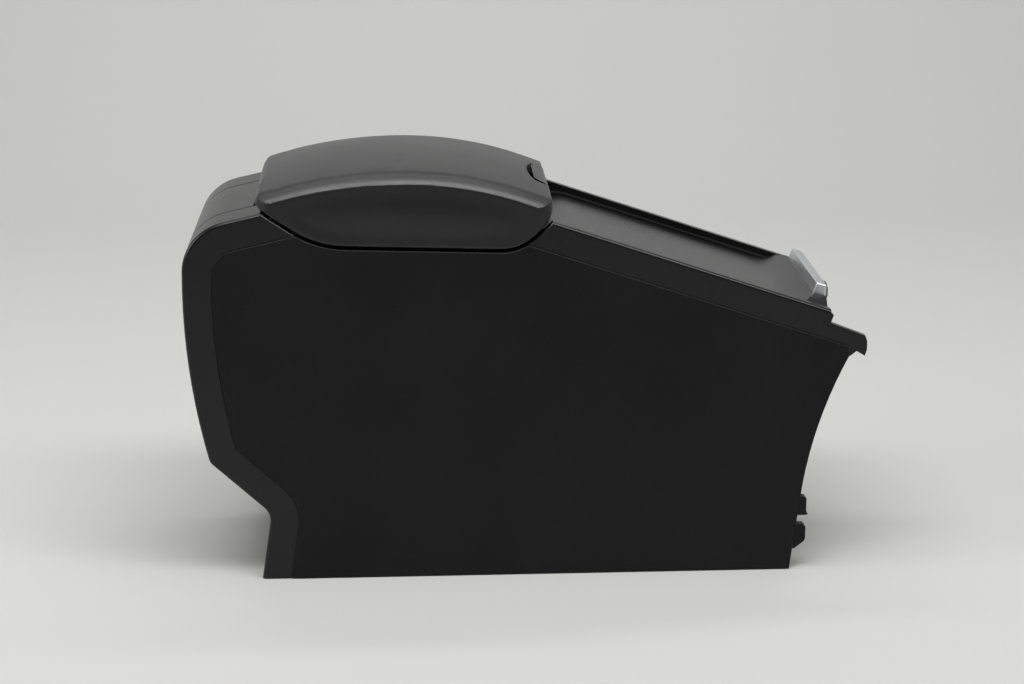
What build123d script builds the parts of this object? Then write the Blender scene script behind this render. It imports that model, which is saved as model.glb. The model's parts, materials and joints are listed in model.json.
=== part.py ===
from build123d import *
from math import asin, atan2, cos, degrees, radians, sin, sqrt, tan
import os

os.makedirs("parts", exist_ok=True)

# Rear section of a car's centre console with a hinged, padded armrest lid over a storage bin
# and a roller shutter over a tray on the sloped front. x runs forward, y to the left, z up.
# The origin is on the floor, under the middle of the length and width. Millimetres and degrees.

# Whole console
WIDTH = 180.0             # over the two side panels
WALL = 2.5                # moulded skin of the bands and the rear cover
SEAM = 0.4                # parting gap between trim pieces
FIT = 0.3                 # assembly clearance between pieces that are clipped or screwed
OVERRUN = 60.0            # how far the outline runs past the floor and the front before it is trimmed
FAR = WIDTH * 3           # reach of zones and cutters that end past every piece

# Side outline of the console, as drawn at the floor, the foot and the rear
FOOT_X = -221.2           # rear edge of the foot on the floor
FOOT_LEAN = 9.0           # foot leans forward as it rises
HEEL_Z = 56.4             # where the foot turns back into the kick
HEEL_R = 15.0
KICK_SLOPE = 43.1         # kick rises to the rear at this angle
KICK_TOP_Z = 102.0
KICK_R = 9.0
REAR_R = 580.0            # bowed rear face
SHOULDER_X = -274.9       # corner of the rear face and the top, before rounding
SHOULDER_DROP = 44.5      # below the lid's peak
SHOULDER_R = 43.0
TOP_RISE = 12.9           # top behind the lid rises forward
RAIL_X = 18.4             # a point on the top of the sloped rails, at the lid's nose
RAIL_DROP = 39.3          # below the lid's peak
RAIL_SLOPE = 18.6
RAIL_END_X = 247.1        # front end of the rails
EDGE_R = 3.0              # rounding along the bands' outer edges

# Bands, side panels and rear cover
BAND_W = 23.5             # width of the band that frames each side panel
PANEL_T = 2.5
PANEL_PROUD = 1.2         # side panels stand out from the bands
PANEL_EDGE_R = 0.9
RIB_T = 1.6               # ribs inside the side panel
RIB_H = 5.0
RIB_PITCH = 72.0
RIB_RUN_Z = (90.0, 170.0)
RIB_CLEAR = 5.0           # ribs stop short of the ledge and the bin's shelf
LEDGE_T = 2.9             # ledge of the band behind the side panel
LEDGE_LAP = 6.0           # how far the ledge reaches behind the panel
LEDGE_ROOT = 3.0          # how far the ledge is rooted behind the band
COVER_W = 100.0           # rear cover between the bands
COVER_LIP = 5.6           # band's lip under each edge of the rear cover
COVER_GROOVE = 0.7        # parting groove is cut this far into both edges
COVER_GROOVE_H = 0.9
SCOOP_BEVEL = 0.8         # bevel along the bands' edge under the lid
LIP_T = 2.3
RAIL_W = 8.8              # flat top of each sloped rail
RAIL_WALL_H = 11.0        # inner wall of the rail, down past the shutter's track

# Front end of the side panels and bands
TOE_X = 219.6             # front end of the side panel on the floor
CLIP_TOP_X = 227.2        # lower end of the panel's hollow front edge
CLIP_TOP_Z = 64.8
BROW_X = 262.7            # upper end of the panel's hollow front edge
BROW_DROP = 9.4           # below the edge of the band there
FRONT_SAG = 5.4           # hollow of that edge
CLIP_REACH = 12.9         # locating clip and hook stand forward of the toe by this much
CLIP_T = 6.0
CLIP_H = 17.0             # at the clip's root
CLIP_TIP_H = 14.5
CLIP_NIB = 1.6            # small nose under the clip's tip
CLIP_Z = 47.3             # underside of the clip
HOOK_Z = 17.7             # underside of the hook
HOOK_H = 21.6
HOOK_LEAD = 4.0           # flat underside of the hook ahead of the toe
TONGUE_END_X = 277.5
TONGUE_DROP = 10.7        # top of the tongue below the end of the rail
TONGUE_FALL = 11.3        # from there to its tip
TONGUE_TIP_H = 12.0
TONGUE_T = 6.0
TONGUE_HOOK = 5.0         # barb under the tongue's tip
TONGUE_NIB = 1.6
TONGUE_BARB_L = 8.5

# Armrest lid, in side view
LID_REAR_X = -218.5
LID_NOSE_X = 20.5
LID_PEAK_X = -101.8
LID_PEAK_Z = 340.7        # top of the lid's two arcs, in line with its side edges
LID_REAR_R = 392.0        # top behind the peak
LID_FRONT_R = 310.0       # top ahead of the peak
LID_TAIL_DROP = 23.8      # underside at the rear end, below the peak
LID_HEEL_X = -169.2       # where the rear ramp meets the long underside
LID_HEEL_DROP = 57.1
LID_HEEL_R = 80.0
LID_TOE_X = -6.9          # where the long underside turns up to the nose
LID_TOE_DROP = 62.3
LID_TOE_R = 39.0
LID_CHIN_DROP = 36.6      # where that ramp meets the nose
LID_CHIN_R = 19.0
LID_CROWN = 4.0           # middle of the lid stands above its side edges
LID_EDGE_W = 15.0         # soft shoulder along the sides
LID_EDGE_H = 8.0
LID_CREASE_R = 3.0        # where that shoulder breaks into the side
LID_NOSE_R = 9.0
LID_TAIL_R = 12.0
LID_END_FLAT = 0.5        # flat wall that the roundings leave at the lid's two ends
LID_OVERSWING = 1.3       # top arcs run on past the lid's ends before they are cut
LID_CORNER_R = 16.0
LID_GAP = 2.6             # open joint between the lid and the console's scoop

# Layers of the lid
PAD_T = 10.0              # foam and cover over the lid's shell
PAD_SIDE_T = 9.5
PAD_REAR_L = 28.5         # solid pad behind the shell
PAD_NOSE_L = 15.5         # solid pad ahead of the shell
SHELL_T = 2.5
SHELL_HEM = 2.0           # shell ends this far inside the pad's lower edge
LINER_T = 2.5
LINER_LIFT = 5.0          # over the bin's rim
LINER_SET = 9.0           # liner ends this far ahead of the shell's rear wall
LINER_CORNER_R = 6.0
BOSS_R = 4.5
BOSS_X = (-150.0, -45.0)
BOSS_Y = 55.0
SCREW_R = 2.0
SCREW_HEAD_R = 4.0
SCREW_HEAD_H = 2.2
SCREW_GRIP = 9.0

# Lid hinge
HINGE_SET = 4.5           # ahead of the lid's rear end
HINGE_DROP = 25.0         # below the lid's peak
HINGE_PIN_R = 2.0
PIN_RUN = 0.06            # running clearance of the shell's lugs on the pin
PIN_HOLD = 0.02           # clearance of the pin in the bracket's arms
EYE_R = 3.2
NOTCH_GAP = 0.5           # room round the hinge under the pad
LUG_Y0 = 20.0             # lid lugs, from and to
LUG_Y1 = 39.4
ARM_T = 9.0               # bracket arms, just outside the lugs
ARM_GAP = 0.6
ARM_ROOT = 11.0           # arm's length on the bracket's base
BRACKET_T = 2.5
BRACKET_END = 6.0         # base plate past its outer screws
BRACKET_L = 17.5
BRACKET_SET = 0.6         # share of the base behind the hinge pin
HINGE_SCREW_Y = (30.0, 56.0)
WELL_GAP = 1.5            # room behind the bracket's arms in the rear cover

# Latch in the lid's nose
PADDLE_HALF = 34.0
PADDLE_GAP = 0.9
PADDLE_T = 3.2
PADDLE_L = 12.3           # paddle's top, back from the nose
PADDLE_CORNER_R = 10.0
FINGER_GAP = 4.6          # crescent gap behind the middle of the paddle
FINGER_R = 115.0          # its rear edge in plan
FINGER_END_R = 5.0
PADDLE_LOW_DROP = 38.5    # lower edge of the paddle, below the lid's peak
LATCH_X = -6.0
LATCH_DROP = 35.7         # below the lid's peak
LATCH_PIN_R = 1.5
BARREL_R = 3.4
LATCH_ARM_Y0 = 26.0
LATCH_ARM_Y1 = 32.0
LATCH_LUG_T = 3.5
LATCH_LUG_RIM = 0.8       # bearing lug stands this far round the barrel
LATCH_LUG_GAP = 0.6       # side play of the paddle between its bearings
LATCH_HOOK_HALF = 7.0
LATCH_HOOK_T = 4.5
LATCH_BARB = 7.0
LATCH_BARB_H = 4.0
SLOT_L = 5.0              # slots for the paddle's arms in the shell's front
SLOT_TOP_DROP = 27.7
STRIKER_T = 2.0
STRIKER_HALF = 14.0
STRIKER_CLEAR = 0.3       # between the barb's point and the striker's edge
STRIKER_GAP = 0.4
STRIKER_SCREW_R = 1.5
STRIKER_SCREW_Y = 11.6
SPRING_R = 2.9
SPRING_WIRE = 0.8
SPRING_TURNS = 4
SPRING_LEAD = 1.35        # from turn to turn, in thicknesses of the wire
SPRING_Y = 9.0            # coil starts here, beside the hook
SPRING_ROOM = 7.0
SPRING_LEG = 1.0

# Storage bin under the lid
BIN_REAR_X = -203.0
BIN_FRONT_X = -22.0
BIN_FLOOR_Z = 112.0
BIN_RIM_DROP = 48.7       # below the lid's peak
BIN_WALL = 2.5
BIN_CORNER_R = 16.0
BIN_FLOOR_R = 7.0
BIN_LID_GAP = 1.8         # bin's rim inside the lid's shell
BIN_SHELF_DROP = 78.7     # band's shelf that carries the bin, below the lid's peak
BIN_SHELF_X0 = -188.0
BIN_SHELF_X1 = -34.0
BRIDGE_SET = 11.5         # bin's front flange ends this far behind the top of the shutter's bend
BRIDGE_CLEAR = 0.8        # under that flange, over the shutter
BRIDGE_GAP = 3.5          # lid's shell and pad stay clear of that flange
BUMPER_X = -12.0
BUMPER_Y = 50.0
BUMPER_R = 5.0
BUMPER_GAP = 0.3
MAT_T = 2.0
MAT_GAP = 1.5
MAT_CORNER_R = 8.0

# Roller shutter, its tracks and the tray below
TRACK_DEPTH = 8.0         # middle of the shutter below the rails' top
SHEET_T = 2.2
TRACK_PLAY = 0.25
TRACK_LIP_T = 1.6
TRACK_LIP_W = 7.0
TRACK_WEB_T = 1.8
TRACK_BEND_S = 29.0       # along the slope from the rail's start
TRACK_BEND_R = 45.0
TRACK_FOOT_Z = 126.0
TRACK_END_S = 247.0
TAIL_ANGLE = 40.0         # shutter's tail lies in the bend
GROOVE_PITCH = 7.0
GROOVE_W = 1.2
GROOVE_DEPTH = 1.0
BAR_REAR_S = 201.0        # rigid front bar of the shutter
BAR_RAMP_L = 26.5         # hollow ramp that runs up from the sheet
BAR_FRONT_S = 240.2
BAR_RISE = 4.2            # bar's top above the rails
BAR_END_L = 16.0          # sloped end of the bar
BAR_END_DROP = 5.2
BAR_SIDE_GAP = 1.0
HANDLE_L = 11.8
HANDLE_LAP = 0.5          # handle's front stands past the bar's
HANDLE_H = 8.8
HANDLE_SET = 20.0         # handle's ends inside the rails
HANDLE_REAR_LEAN = 0.4
HANDLE_FRONT_LEAN = 2.5
HANDLE_R = 1.2
HANDLE_END_R = 1.8
TRAY_S0 = 34.0
TRAY_S1 = 240.0
TRAY_REAR_X = 50.0
TRAY_FRONT_X = 226.0
TRAY_SET = 6.7            # tray's side walls inside the guide rails
TRAY_FLOOR_Z = 150.0
TRAY_CORNER_R = 14.0
TRAY_SCREW_S = (70.0, 215.0)
SEAT = 0.05               # pieces that bear on each other

# Floor flange inside the foot
FLOOR_FLANGE_HALF = 42.0
FLOOR_FLANGE_L = 42.0
FLOOR_FLANGE_T = 3.0
FLOOR_HOLE_R = 3.5
FLOOR_HOLE_Y = 25.0
FLOOR_HOLE_SET = 28.0     # from the rear edge of the foot
GUSSET_H = 40.0
GUSSET_T = 3.0

# Places across the width, measured from the middle plane
HALF = WIDTH / 2
BAND_Y = HALF - PANEL_PROUD
BAND_IN = BAND_Y - WALL
PANEL_IN = HALF - PANEL_T
LEDGE_OUT = PANEL_IN - FIT
LEDGE_IN = LEDGE_OUT - LEDGE_T
RAIL_IN = BAND_Y - RAIL_W
TRACK_OUT = RAIL_IN - FIT
TRACK_WEB_IN = TRACK_OUT - TRACK_WEB_T
TRACK_LIP_IN = TRACK_OUT - TRACK_LIP_W
SHEET_HALF = TRACK_WEB_IN - FIT
COVER_HALF = COVER_W / 2
CAVITY_HALF = HALF - PAD_SIDE_T
SHELL_HALF = CAVITY_HALF - FIT
SHELL_IN = SHELL_HALF - SHELL_T
BIN_HALF = SHELL_IN - BIN_LID_GAP
ARM_Y0 = LUG_Y1 + ARM_GAP
ARM_Y1 = ARM_Y0 + ARM_T
LATCH_LUG_Y = LATCH_ARM_Y1 + LATCH_LUG_GAP

# Places along the length
HINGE_X = LID_REAR_X + HINGE_SET
CAVITY_X0 = LID_REAR_X + PAD_REAR_L
CAVITY_X1 = LID_NOSE_X - PAD_NOSE_L
BRACKET_X0 = HINGE_X - BRACKET_L * BRACKET_SET
BRACKET_X1 = BRACKET_X0 + BRACKET_L
HANDLE_S = BAR_FRONT_S + HANDLE_LAP - HANDLE_L
HANDLE_HALF = RAIL_IN - HANDLE_SET
BAR_HALF = RAIL_IN - BAR_SIDE_GAP
BAR_FLAT_HALF = BAR_HALF - BAR_END_L
TRAY_HALF = TRACK_LIP_IN - TRAY_SET
BRACKET_HALF = HINGE_SCREW_Y[-1] + BRACKET_END
PAST = 2.0                # cutters reach this far past what they cut

# Heights over the floor
SHOULDER_Z = LID_PEAK_Z - SHOULDER_DROP
RAIL_Z = LID_PEAK_Z - RAIL_DROP
LID_TAIL_Z = LID_PEAK_Z - LID_TAIL_DROP
LID_HEEL_Z = LID_PEAK_Z - LID_HEEL_DROP
LID_TOE_Z = LID_PEAK_Z - LID_TOE_DROP
LID_CHIN_Z = LID_PEAK_Z - LID_CHIN_DROP
HINGE_Z = LID_PEAK_Z - HINGE_DROP
LATCH_Z = LID_PEAK_Z - LATCH_DROP
SLOT_TOP_Z = LID_PEAK_Z - SLOT_TOP_DROP
PADDLE_LOW_Z = LID_PEAK_Z - PADDLE_LOW_DROP
BIN_RIM_Z = LID_PEAK_Z - BIN_RIM_DROP
BIN_SHELF_Z = LID_PEAK_Z - BIN_SHELF_DROP
LINER_Z = BIN_RIM_Z + LINER_LIFT

SLOPE = Plane(
    origin=(RAIL_X, 0, RAIL_Z),
    x_dir=(cos(radians(RAIL_SLOPE)), 0, -sin(radians(RAIL_SLOPE))),
    z_dir=(sin(radians(RAIL_SLOPE)), 0, cos(radians(RAIL_SLOPE))),
)


def slope_point(along, depth):
    """Side-view point at a distance along the rails and a depth below their top."""
    a = radians(RAIL_SLOPE)
    x = RAIL_X + along * cos(a) - depth * sin(a)
    z = RAIL_Z - along * sin(a) - depth * cos(a)
    return x, z


def band_edge_z(x):
    """Height of the sloped band's lower edge."""
    edge_x, edge_z = slope_point(0, BAND_W)
    return edge_z - tan(radians(RAIL_SLOPE)) * (x - edge_x)


def brow_z():
    """Height of the upper end of the panel's hollow front edge."""
    return band_edge_z(BROW_X) - BROW_DROP


def rounded(face, corners):
    """Side-view face with its corners, given as (point, radius), rounded."""
    for (x, z), radius in corners:
        corner = face.vertices().sort_by_distance((x, z, 0))[0]
        face = fillet(corner, radius)
    return face


def polygon(*points):
    return make_face(Polyline(*points, close=True))


def rectangle(x0, x1, z0, z1):
    return polygon((x0, z0), (x1, z0), (x1, z1), (x0, z1))


def slab(face, y0, y1):
    """Side-view face made a prism from y0 to y1 to the right of the middle plane."""
    return extrude(Plane.XZ.offset(y0) * face, amount=y1 - y0)


def centred(face, half):
    return slab(face, -half, half)


def rod(x, z, radius, y0, y1):
    """Round rod across the width."""
    return slab(Pos(x, z) * Circle(radius), y0, y1)


def block(x0, x1, y0, y1, z0, z1):
    size = (x1 - x0, y1 - y0, z1 - z0)
    return Pos((x0 + x1) / 2, (y0 + y1) / 2, (z0 + z1) / 2) * Box(*size)


def both_sides(part):
    return part + mirror(part, about=Plane.XZ)


def save(shape, name):
    export_step(shape, f"parts/{name}.step")


def save_pair(right, name):
    """Right-hand piece and its mirror image on the left."""
    save(right, f"right_{name}")
    save(mirror(right, about=Plane.XZ), f"left_{name}")


# Side outlines

def console_outline():
    """Whole side outline, with the lid's place filled in and the floor and front overrun."""
    lean = tan(radians(FOOT_LEAN))
    foot = (FOOT_X - OVERRUN * lean, -OVERRUN)
    heel = (FOOT_X + HEEL_Z * lean, HEEL_Z)
    kick = (heel[0] - (KICK_TOP_Z - HEEL_Z) / tan(radians(KICK_SLOPE)), KICK_TOP_Z)
    shoulder = (SHOULDER_X, SHOULDER_Z)
    rise = tan(radians(TOP_RISE))
    fall = tan(radians(RAIL_SLOPE))
    ridge_x = (RAIL_Z + fall * RAIL_X - SHOULDER_Z + rise * SHOULDER_X) / (rise + fall)
    ridge = (ridge_x, SHOULDER_Z + rise * (ridge_x - SHOULDER_X))
    front_x = RAIL_END_X + OVERRUN
    front = (front_x, RAIL_Z - fall * (front_x - RAIL_X))
    edges = [
        Line(foot, heel),
        Line(heel, kick),
        RadiusArc(kick, shoulder, REAR_R),
        Line(shoulder, ridge),
        Line(ridge, front),
        Line(front, (front_x, -OVERRUN)),
        Line((front_x, -OVERRUN), foot),
    ]
    face = make_face(edges)
    return rounded(face, [(heel, HEEL_R), (kick, KICK_R), (shoulder, SHOULDER_R)])


def inset(face, distance):
    return offset(face, amount=-distance, kind=Kind.INTERSECTION)


def lid_top(x):
    """Height of the lid's top along its side edges."""
    radius = LID_FRONT_R if x > LID_PEAK_X else LID_REAR_R
    return LID_PEAK_Z - radius + sqrt(radius**2 - (x - LID_PEAK_X) ** 2)


def lid_top_arcs(drop, x0, x1):
    """The two arcs of the lid's top, moved down, from x0 to x1."""
    peak = (LID_PEAK_X, LID_PEAK_Z - drop)
    rear = (x0, lid_top(x0) - drop)
    front = (x1, lid_top(x1) - drop)
    return [RadiusArc(rear, peak, LID_REAR_R), RadiusArc(peak, front, LID_FRONT_R)]


def lid_outline(lift=0.0):
    """Boat-shaped side view of the lid, with its top raised by lift."""
    tail = (LID_REAR_X, LID_TAIL_Z)
    heel = (LID_HEEL_X, LID_HEEL_Z)
    toe = (LID_TOE_X, LID_TOE_Z)
    chin = (LID_NOSE_X, LID_CHIN_Z)
    rear_top = (LID_REAR_X, lid_top(LID_REAR_X) + lift)
    nose_top = (LID_NOSE_X, lid_top(LID_NOSE_X) + lift)
    edges = lid_top_arcs(-lift, LID_REAR_X, LID_NOSE_X) + [
        Line(nose_top, chin),
        Line(chin, toe),
        Line(toe, heel),
        Line(heel, tail),
        Line(tail, rear_top),
    ]
    return rounded(make_face(edges), [(heel, LID_HEEL_R), (toe, LID_TOE_R), (chin, LID_CHIN_R)])


def end_rounding(x, lift, radius, low_z):
    """Corner at one end of the lid's top and its radius, limited by the end wall down to low_z."""
    arc_r = LID_FRONT_R if x > LID_PEAK_X else LID_REAR_R
    top_z = lid_top(x) + lift
    half_angle = (radians(90) + asin(abs(x - LID_PEAK_X) / arc_r)) / 2
    room = (top_z - low_z - LID_END_FLAT) * tan(half_angle)
    return (x, top_z), min(radius, room)


def nose_rounding(lift):
    chin_turn = atan2(LID_NOSE_X - LID_TOE_X, LID_CHIN_Z - LID_TOE_Z)
    chin_top = LID_CHIN_Z + LID_CHIN_R * tan(chin_turn / 2)
    return end_rounding(LID_NOSE_X, lift, LID_NOSE_R, chin_top)


def tail_rounding(lift):
    return end_rounding(LID_REAR_X, lift, LID_TAIL_R, LID_TAIL_Z)


OUTLINE = console_outline()
LID = lid_outline()
SCOOP = offset(LID, amount=LID_GAP)
TRIM = block(-FAR, RAIL_END_X, -HALF, HALF, 0, FAR)


# Bands, rear cover and side panels

def console_skin():
    """Thin moulded skin over the whole outline, rounded along both sides."""
    def body(face, half, radius):
        solid = centred(face, half)
        rims = solid.faces().sort_by(Axis.Y)
        edges = rims[0].edges() + rims[-1].edges()
        return fillet(edges, radius)
    outer = body(OUTLINE, BAND_Y, EDGE_R)
    inner = body(inset(OUTLINE, WALL), BAND_IN, EDGE_R - WALL)
    return (outer - inner) & TRIM


WELL = block(
    HINGE_X - ARM_ROOT / 2 - WELL_GAP,
    BIN_REAR_X,
    -ARM_Y1 - WELL_GAP,
    ARM_Y1 + WELL_GAP,
    BIN_RIM_Z,
    LID_PEAK_Z,
)
COVER_JOINT = slab(
    OUTLINE - inset(OUTLINE, COVER_GROOVE_H),
    COVER_HALF - COVER_GROOVE,
    COVER_HALF + SEAM + COVER_GROOVE,
)
SKIN = console_skin() - centred(SCOOP, HALF) - WELL - both_sides(COVER_JOINT)
REAR_ZONE = rectangle(-FAR, LID_PEAK_X, -PAST, FAR)
FRONT_ZONE = rectangle(LID_PEAK_X, FAR, -PAST, FAR)


def tongue():
    """Hooked tongue that carries the band on past the end of the rails."""
    root_x = RAIL_END_X - BAND_W
    fall = tan(radians(RAIL_SLOPE))
    top = RAIL_Z - fall * (RAIL_END_X - RAIL_X) - TONGUE_DROP
    tip = top - TONGUE_FALL
    tip_low = tip - TONGUE_TIP_H
    face = polygon(
        (root_x, band_edge_z(root_x)),
        (root_x, top + fall * BAND_W / 2),
        (RAIL_END_X, top),
        (TONGUE_END_X - TONGUE_NIB, tip),
        (TONGUE_END_X, tip - TONGUE_HOOK),
        (TONGUE_END_X, tip_low),
        (TONGUE_END_X - TONGUE_NIB, tip_low - TONGUE_HOOK),
        (TONGUE_END_X - TONGUE_BARB_L, tip_low - TONGUE_NIB / 2),
        (BROW_X + SEAM, brow_z()),
        (BROW_X + SEAM, band_edge_z(BROW_X)),
    )
    return slab(face, BAND_Y - TONGUE_T, BAND_Y)


def right_band():
    """Band round the rear and the sloped rail, joined behind the panel under the lid."""
    ledge = inset(OUTLINE, BAND_W - LEDGE_ROOT) - inset(OUTLINE, BAND_W + LEDGE_LAP)
    web = rectangle(BIN_SHELF_X0 - LEDGE_LAP, LID_TOE_X + BAND_W, BIN_SHELF_Z - WALL, LID_TAIL_Z)
    clear = offset(LID, amount=LID_GAP + FIT)
    reach = block(-FAR, BROW_X, -HALF, HALF, 0, FAR)
    behind = slab((ledge + web) - clear, LEDGE_IN, LEDGE_OUT) & reach

    band = SKIN & slab(REAR_ZONE, COVER_HALF + SEAM, HALF)
    band += SKIN & slab(FRONT_ZONE, RAIL_IN, HALF)
    band -= slab(inset(OUTLINE, BAND_W), BAND_IN - PAST, HALF)
    bevel = Plane.XZ.offset(BAND_Y - SCOOP_BEVEL) * SCOOP
    band -= extrude(bevel, amount=SCOOP_BEVEL + SEAM, taper=-45)

    lip = (inset(OUTLINE, WALL + FIT) - inset(OUTLINE, WALL + LIP_T)) & REAR_ZONE
    root = (inset(OUTLINE, WALL) - inset(OUTLINE, WALL + LIP_T)) & REAR_ZONE
    lips = slab(lip - SCOOP, COVER_HALF - COVER_LIP, COVER_HALF + SEAM)
    lips += slab(root - SCOOP, COVER_HALF + SEAM, COVER_HALF + COVER_LIP)
    lips -= WELL

    end_s = OVERRUN + (RAIL_END_X - RAIL_X) / cos(radians(RAIL_SLOPE))
    wall = polygon(
        slope_point(-OVERRUN, WALL / 2),
        slope_point(end_s, WALL / 2),
        slope_point(end_s, RAIL_WALL_H),
        slope_point(-OVERRUN, RAIL_WALL_H),
    )
    walls = slab(wall - SCOOP, RAIL_IN, RAIL_IN + WALL) & TRIM
    shelf = block(BIN_SHELF_X0, BIN_SHELF_X1, -LEDGE_OUT, -BIN_HALF - PAST, BIN_SHELF_Z - WALL, BIN_SHELF_Z)
    return band + behind + (lips & TRIM) + walls + shelf + tongue()


def front_edge(reach):
    """Area behind the panel's front edge: hollow above, straight below the clips."""
    hollow = SagittaArc((CLIP_TOP_X, CLIP_TOP_Z), (BROW_X, brow_z()), FRONT_SAG)
    edges = [
        Line((-reach, 0), (TOE_X, 0)),
        Line((TOE_X, 0), (CLIP_TOP_X, CLIP_TOP_Z)),
        hollow,
        Line((BROW_X, brow_z()), (BROW_X, reach)),
        Line((BROW_X, reach), (-reach, reach)),
        Line((-reach, reach), (-reach, 0)),
    ]
    return make_face(edges)


def right_side_panel():
    """Large side panel, proud of the band, with the clip and hook on its front edge."""
    face = inset(OUTLINE, BAND_W + SEAM) & front_edge(FAR)
    face -= SCOOP
    panel = slab(face, PANEL_IN, HALF)
    panel = fillet(panel.faces().sort_by(Axis.Y)[0].edges(), PANEL_EDGE_R)

    tip_x = TOE_X + CLIP_REACH
    root_x = TOE_X - CLIP_REACH
    clip = polygon(
        (root_x, CLIP_Z),
        (tip_x, CLIP_Z),
        (tip_x + CLIP_NIB, CLIP_Z + CLIP_NIB / 2),
        (tip_x, CLIP_Z + CLIP_NIB),
        (tip_x, CLIP_Z + CLIP_TIP_H),
        (tip_x - CLIP_NIB, CLIP_Z + CLIP_H - CLIP_NIB / 2),
        (root_x, CLIP_Z + CLIP_H),
    )
    hook = polygon(
        (root_x, HOOK_Z),
        (TOE_X + HOOK_LEAD, HOOK_Z),
        (tip_x, HOOK_Z + HOOK_H / 3),
        (tip_x, HOOK_Z + HOOK_H),
        (root_x, HOOK_Z + HOOK_H),
    )
    hook = rounded(hook, [
        ((tip_x, HOOK_Z + HOOK_H / 3), HOOK_H / 4),
        ((tip_x, HOOK_Z + HOOK_H), HOOK_H / 6),
    ])
    clips = slab(clip + hook, PANEL_IN - CLIP_T, PANEL_IN + PANEL_EDGE_R)
    return panel + clips + panel_ribs()


def panel_ribs():
    """Stiffening ribs moulded on the inside of the side panel."""
    field = inset(OUTLINE, BAND_W + LEDGE_LAP + RIB_CLEAR) & front_edge(FAR)
    field &= rectangle(FOOT_X, TOE_X - CLIP_REACH - RIB_CLEAR, RIB_CLEAR, BIN_SHELF_Z - WALL - RIB_CLEAR)
    ribs = Sketch()
    count = int((TOE_X - FOOT_X) / RIB_PITCH)
    for index in range(1, count):
        x = FOOT_X + index * RIB_PITCH
        ribs += rectangle(x, x + RIB_T, 0, LID_PEAK_Z)
    for z in RIB_RUN_Z:
        ribs += rectangle(FOOT_X, TOE_X, z, z + RIB_T)
    return slab(ribs & field, PANEL_IN - RIB_H, PANEL_IN + PANEL_EDGE_R)


def rear_cover():
    """Plain cover between the two bands, with a bolted flange on the floor inside the foot."""
    cover = SKIN & centred(REAR_ZONE, COVER_HALF)
    lean = tan(radians(FOOT_LEAN))
    inner = FOOT_X + WALL / 2
    front = FOOT_X + FLOOR_FLANGE_L
    flange = polygon(
        (inner, 0),
        (front, 0),
        (front, FLOOR_FLANGE_T),
        (inner + FLOOR_FLANGE_T * lean, FLOOR_FLANGE_T),
    )
    gusset = polygon((inner, 0), (front, FLOOR_FLANGE_T), (inner + GUSSET_H * lean, GUSSET_H))
    cover += centred(flange, FLOOR_FLANGE_HALF) + centred(gusset, GUSSET_T / 2)
    cover += both_sides(slab(gusset, FLOOR_FLANGE_HALF - GUSSET_T, FLOOR_FLANGE_HALF))
    hole = Pos(FOOT_X + FLOOR_HOLE_SET, FLOOR_HOLE_Y, 0) * Cylinder(FLOOR_HOLE_R, FLOOR_FLANGE_T * 3)
    return cover - both_sides(hole)


# Storage bin

def tub(x0, x1, half, floor_z, top_z, radius, floor_radius):
    """Open-topped tub's outer form or its inside."""
    plan = Pos((x0 + x1) / 2, 0, floor_z) * RectangleRounded(x1 - x0, 2 * half, radius)
    solid = extrude(plan, amount=top_z - floor_z)
    return fillet(solid.faces().sort_by(Axis.Z)[0].edges(), floor_radius)


def storage_bin():
    """Bin with side flanges on the bands' shelves and flanges for the hinge and the latch."""
    outer = tub(BIN_REAR_X, BIN_FRONT_X, BIN_HALF, BIN_FLOOR_Z, BIN_RIM_Z, BIN_CORNER_R, BIN_FLOOR_R)
    inside = tub(
        BIN_REAR_X + BIN_WALL,
        BIN_FRONT_X - BIN_WALL,
        BIN_HALF - BIN_WALL,
        BIN_FLOOR_Z + BIN_WALL,
        BIN_RIM_Z + PAST,
        BIN_CORNER_R - BIN_WALL,
        BIN_FLOOR_R - BIN_WALL,
    )
    under = BIN_RIM_Z - BIN_WALL
    side = BIN_SHELF_Z + BIN_WALL
    reach = LEDGE_IN - FIT
    flanges = block(BIN_SHELF_X0 + FIT, BIN_SHELF_X1 - FIT, -reach, reach, BIN_SHELF_Z, side)
    rear_x = BRACKET_X0 - PAST
    flanges += block(rear_x, BIN_REAR_X + BIN_CORNER_R, -BIN_HALF, BIN_HALF, under, BIN_RIM_Z)
    bridge_half = TRACK_LIP_IN - FIT
    front_x = BIN_FRONT_X - BIN_CORNER_R
    flanges += block(front_x, bridge_end_x(), -bridge_half, bridge_half, under, BIN_RIM_Z)
    window = block(
        hook_rear_x() - STRIKER_CLEAR,
        LATCH_X + LATCH_HOOK_T * 2,
        -LATCH_HOOK_HALF - PAST,
        LATCH_HOOK_HALF + PAST,
        under - PAST,
        BIN_RIM_Z + PAST,
    )
    bin_ = outer + flanges - inside - window
    for y in HINGE_SCREW_Y:
        bin_ -= both_sides(Pos(HINGE_X, y, BIN_RIM_Z) * Cylinder(SCREW_R + PIN_HOLD, BIN_WALL * 3))
    for y in (-STRIKER_SCREW_Y, STRIKER_SCREW_Y):
        bin_ -= Pos(striker_screw_x(), y, BIN_RIM_Z) * Cylinder(STRIKER_SCREW_R + PIN_HOLD, BIN_WALL * 3)
    return bin_


def bridge_end_x():
    """Front end of the bin's flange, kept behind the shutter where it rises through the bend."""
    x, z = bend_centre()
    crest = TRACK_BEND_R + SHEET_T / 2
    height = min(BIN_RIM_Z - BIN_WALL - BRIDGE_CLEAR - z, crest)
    return x - sqrt(crest**2 - height**2) - BRIDGE_SET


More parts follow.
